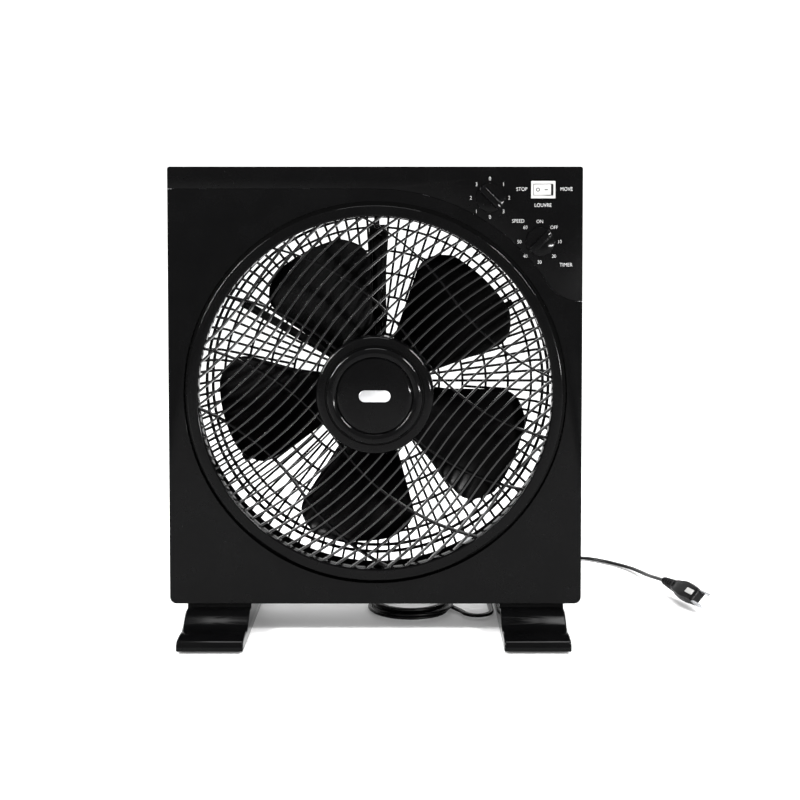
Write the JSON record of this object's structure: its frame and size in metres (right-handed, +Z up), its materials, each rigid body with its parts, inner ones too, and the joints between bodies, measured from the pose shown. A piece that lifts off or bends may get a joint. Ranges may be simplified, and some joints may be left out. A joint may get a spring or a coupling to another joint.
{
  "type": "box fan",
  "caption": "Free-standing square box fan with a turning round louvre, rear guard, speed and timer knobs, rocker switch, two feet and a mains lead with plug.",
  "frame": {"origin": "on the floor, under the middle of the two feet", "axes": "+Z up, the front with the louvre faces -Y, +X is to the right when looking at the front"},
  "size_m": [0.4896, 0.3091, 0.407],
  "materials": {
    "gloss_black": "polished black moulded plastic",
    "soft_black": "satin black moulded plastic",
    "steel": "bright steel",
    "dark_steel": "zinc-plated and painted steel",
    "silver_badge": "satin silver plaque",
    "copper": "enamelled copper wire",
    "bronze": "sintered bronze and brass",
    "white_plastic": "white moulded plastic",
    "grey_plastic": "grey moulded plastic",
    "rubber": "black rubber",
    "cord_pvc": "black flexible sheath"
  },
  "bodies": {
    "root": {"front_housing": "gloss_black", "control_panel": "gloss_black", "rear_housing": "gloss_black", "rear_grille": "gloss_black", "left_foot": "gloss_black", "right_foot": "gloss_black", "lead_cover": "gloss_black", "plug_body": "soft_black", "speed_switch": "grey_plastic", "timer_body": "grey_plastic", "capacitor": "grey_plastic", "stator_core": "steel", "louvre_motor": "steel", "roller_pins": "steel", "speed_nut": "steel", "timer_nut": "steel", "capacitor_strap": "steel", "plug_pins": "steel", "motor_front_cover": "dark_steel", "motor_rear_cover": "dark_steel", "motor_screws": "dark_steel", "louvre_motor_screws": "dark_steel", "foot_screws": "dark_steel", "housing_screws": "dark_steel", "panel_screws": "dark_steel", "grille_screws": "dark_steel", "front_bushing": "bronze", "rear_bushing": "bronze", "rocker_terminals": "bronze", "stator_windings": "copper", "rocker_frame": "white_plastic", "terminal_block": "white_plastic", "foot_pads": "rubber", "motor_lead": "rubber", "strain_relief": "rubber", "cord_entry": "cord_pvc", "cord_coil": "cord_pvc", "cord_run": "cord_pvc"},
    "fan": {"fan_blade": "soft_black", "blade_nut": "grey_plastic", "drive_pin": "steel", "motor_shaft": "steel", "rotor": "steel", "thrust_washers": "steel"},
    "louvre": {"louvre_grille": "gloss_black", "hub_dome": "gloss_black", "hub_cap": "gloss_black", "hub_badge": "silver_badge"},
    "drive": {"louvre_motor_shaft": "steel", "drive_wheel": "grey_plastic", "drive_tyre": "rubber"},
    "roller_1": {"guide_roller_1": "white_plastic"},
    "roller_2": {"guide_roller_2": "white_plastic"},
    "roller_3": {"guide_roller_3": "white_plastic"},
    "speed_control": {"speed_spindle": "steel", "speed_knob": "gloss_black"},
    "timer_control": {"timer_spindle": "steel", "timer_knob": "gloss_black"},
    "rocker": {"rocker_button": "white_plastic"}
  },
  "joints": [
    {"name": "fan_spin", "type": "hinge", "parent": "root", "child": "fan", "pos_m": [0, 0, 0.21], "axis": [0, 1, 0], "continuous": true},
    {"name": "louvre_spin", "type": "hinge", "parent": "root", "child": "louvre", "pos_m": [0, 0, 0.21], "axis": [0, 1, 0], "continuous": true},
    {"name": "drive_wheel_spin", "type": "hinge", "parent": "root", "child": "drive", "pos_m": [0.09065, 0, 0.05299], "axis": [0, 1, 0], "continuous": true},
    {"name": "guide_roller_1_spin", "type": "hinge", "parent": "root", "child": "roller_1", "pos_m": [0.16586, 0, 0.27037], "axis": [0, 1, 0], "continuous": true},
    {"name": "guide_roller_2_spin", "type": "hinge", "parent": "root", "child": "roller_2", "pos_m": [-0.1248, 0, 0.3348], "axis": [0, 1, 0], "continuous": true},
    {"name": "guide_roller_3_spin", "type": "hinge", "parent": "root", "child": "roller_3", "pos_m": [-0.1248, 0, 0.0852], "axis": [0, 1, 0], "continuous": true},
    {"name": "speed_knob_turn", "type": "hinge", "parent": "root", "child": "speed_control", "pos_m": [0.0995, 0, 0.38], "axis": [0, 1, 0], "continuous": true},
    {"name": "timer_knob_turn", "type": "hinge", "parent": "root", "child": "timer_control", "pos_m": [0.1427, 0, 0.342], "axis": [0, 1, 0], "range_deg": [-45, 270]},
    {"name": "rocker_tilt", "type": "hinge", "parent": "root", "child": "rocker", "pos_m": [0.1455, -0.029, 0.387], "axis": [0, 0, 1], "range_deg": [0, 16]}
  ],
  "couplings": [
    {"joint": "drive_wheel_spin", "follows": "louvre_spin", "ratio": -19.111},
    {"joint": "guide_roller_1_spin", "follows": "louvre_spin", "ratio": -40.952},
    {"joint": "guide_roller_2_spin", "follows": "louvre_spin", "ratio": -40.952},
    {"joint": "guide_roller_3_spin", "follows": "louvre_spin", "ratio": -40.952}
  ]
}
